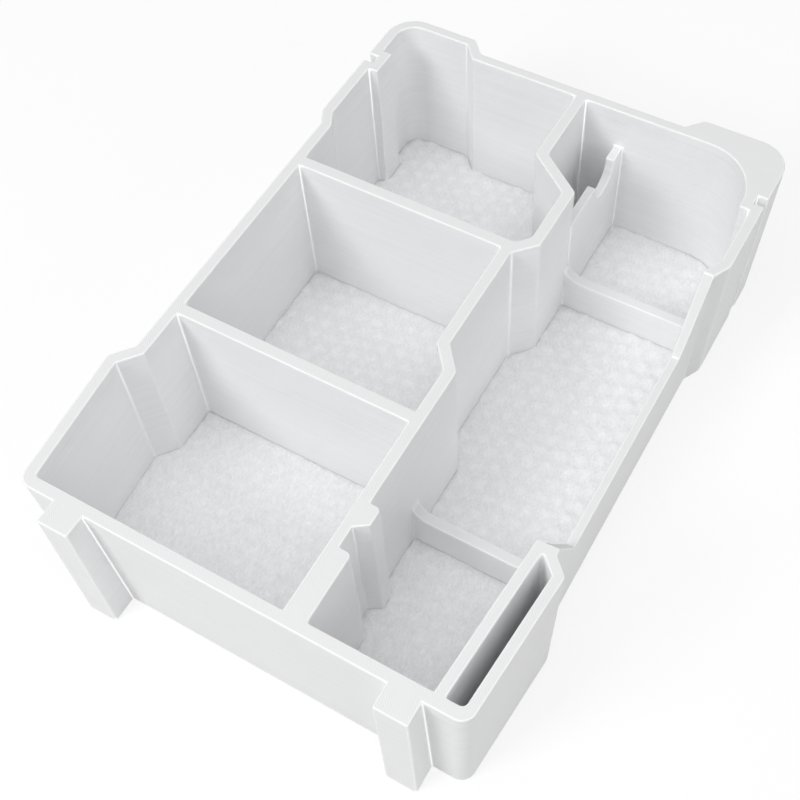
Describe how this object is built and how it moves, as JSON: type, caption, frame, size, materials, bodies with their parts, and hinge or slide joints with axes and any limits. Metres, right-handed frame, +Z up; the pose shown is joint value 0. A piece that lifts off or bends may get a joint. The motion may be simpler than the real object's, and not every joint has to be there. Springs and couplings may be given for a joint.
{
  "type": "organizer tray",
  "caption": "Rectangular desk or console tray with upright compartments around a stepped central wall, a slanted slot, a low side rail and soft liners.",
  "frame": {"origin": "centre of the tray's overall footprint, on the surface it stands on", "axes": "+X to the right across the short side, +Y from the posts on the front face to the back wall, +Z up"},
  "size_m": [0.1353, 0.2012, 0.052],
  "materials": {
    "printed_plastic": "matte white, fine horizontal print layers",
    "plush_liner": "white short-pile plush with soft dimples"
  },
  "bodies": {
    "root": {"tray_body": "printed_plastic", "liner_front_left": "plush_liner", "liner_middle_left": "plush_liner", "liner_back_left": "plush_liner", "liner_back_right": "plush_liner", "liner_middle_right": "plush_liner", "liner_front_right": "plush_liner"}
  },
  "joints": []
}
